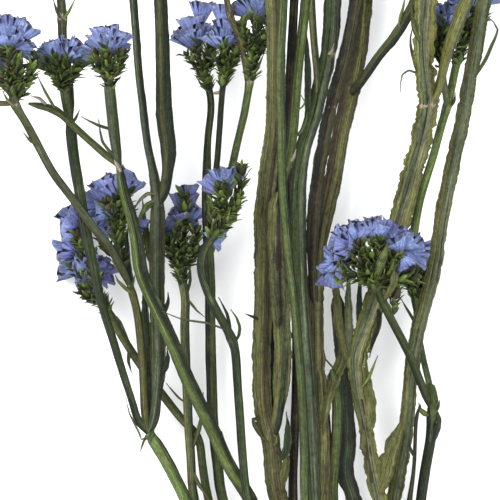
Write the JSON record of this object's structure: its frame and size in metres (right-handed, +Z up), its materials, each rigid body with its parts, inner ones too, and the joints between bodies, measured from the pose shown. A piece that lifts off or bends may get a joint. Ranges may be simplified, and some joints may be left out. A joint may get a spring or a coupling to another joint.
{
  "type": "dried statice bunch",
  "caption": "Tied bunch of dried statice lying flat: ridged and winged branching stems with one-sided heads of papery, pleated blue calyces in green bracts.",
  "frame": {"origin": "centre of the bunch's box on the surface it lies on", "axes": "+Y from the cut ends to the flower tops, +X to the right in the picture, +Z up from the surface, towards the camera"},
  "size_m": [0.172, 0.3528, 0.0493],
  "materials": {
    "calyces": "dry papery matte",
    "green_stems": "dry fibrous matte",
    "olive_stems": "dry fibrous matte",
    "brown_stems": "dry fibrous matte",
    "twine": "fibrous matte"
  },
  "bodies": {
    "root": {"head_behind": "calyces", "head_fan": "calyces", "head_front": "calyces", "head_green": "calyces", "head_left_edge": "calyces", "head_long": "calyces", "head_low_left": "calyces", "head_low_right": "calyces", "head_mid": "calyces", "head_pair_left": "calyces", "head_pair_right": "calyces", "head_right_low": "calyces", "head_small_front": "calyces", "head_t01": "calyces", "head_t02": "calyces", "head_t03": "calyces", "head_t04": "calyces", "head_t05": "calyces", "head_t06": "calyces", "head_t07": "calyces", "head_t09": "calyces", "head_t10": "calyces", "head_t11": "calyces", "head_t12": "calyces", "head_t13": "calyces", "head_t14": "calyces", "head_t15": "calyces", "head_top": "calyces", "stem_a": "green_stems", "stem_b": "green_stems", "stem_b2": "green_stems", "stem_c1": "green_stems", "stem_c3": "green_stems", "stem_e": "brown_stems", "stem_f": "olive_stems", "stem_k": "brown_stems", "stem_k2": "brown_stems", "stem_k3": "green_stems", "stem_l": "olive_stems", "stem_m": "green_stems", "stem_p": "green_stems", "stem_q": "green_stems", "stem_r": "green_stems", "stem_w": "brown_stems", "stem_w2": "olive_stems", "tie": "twine"}
  },
  "joints": []
}
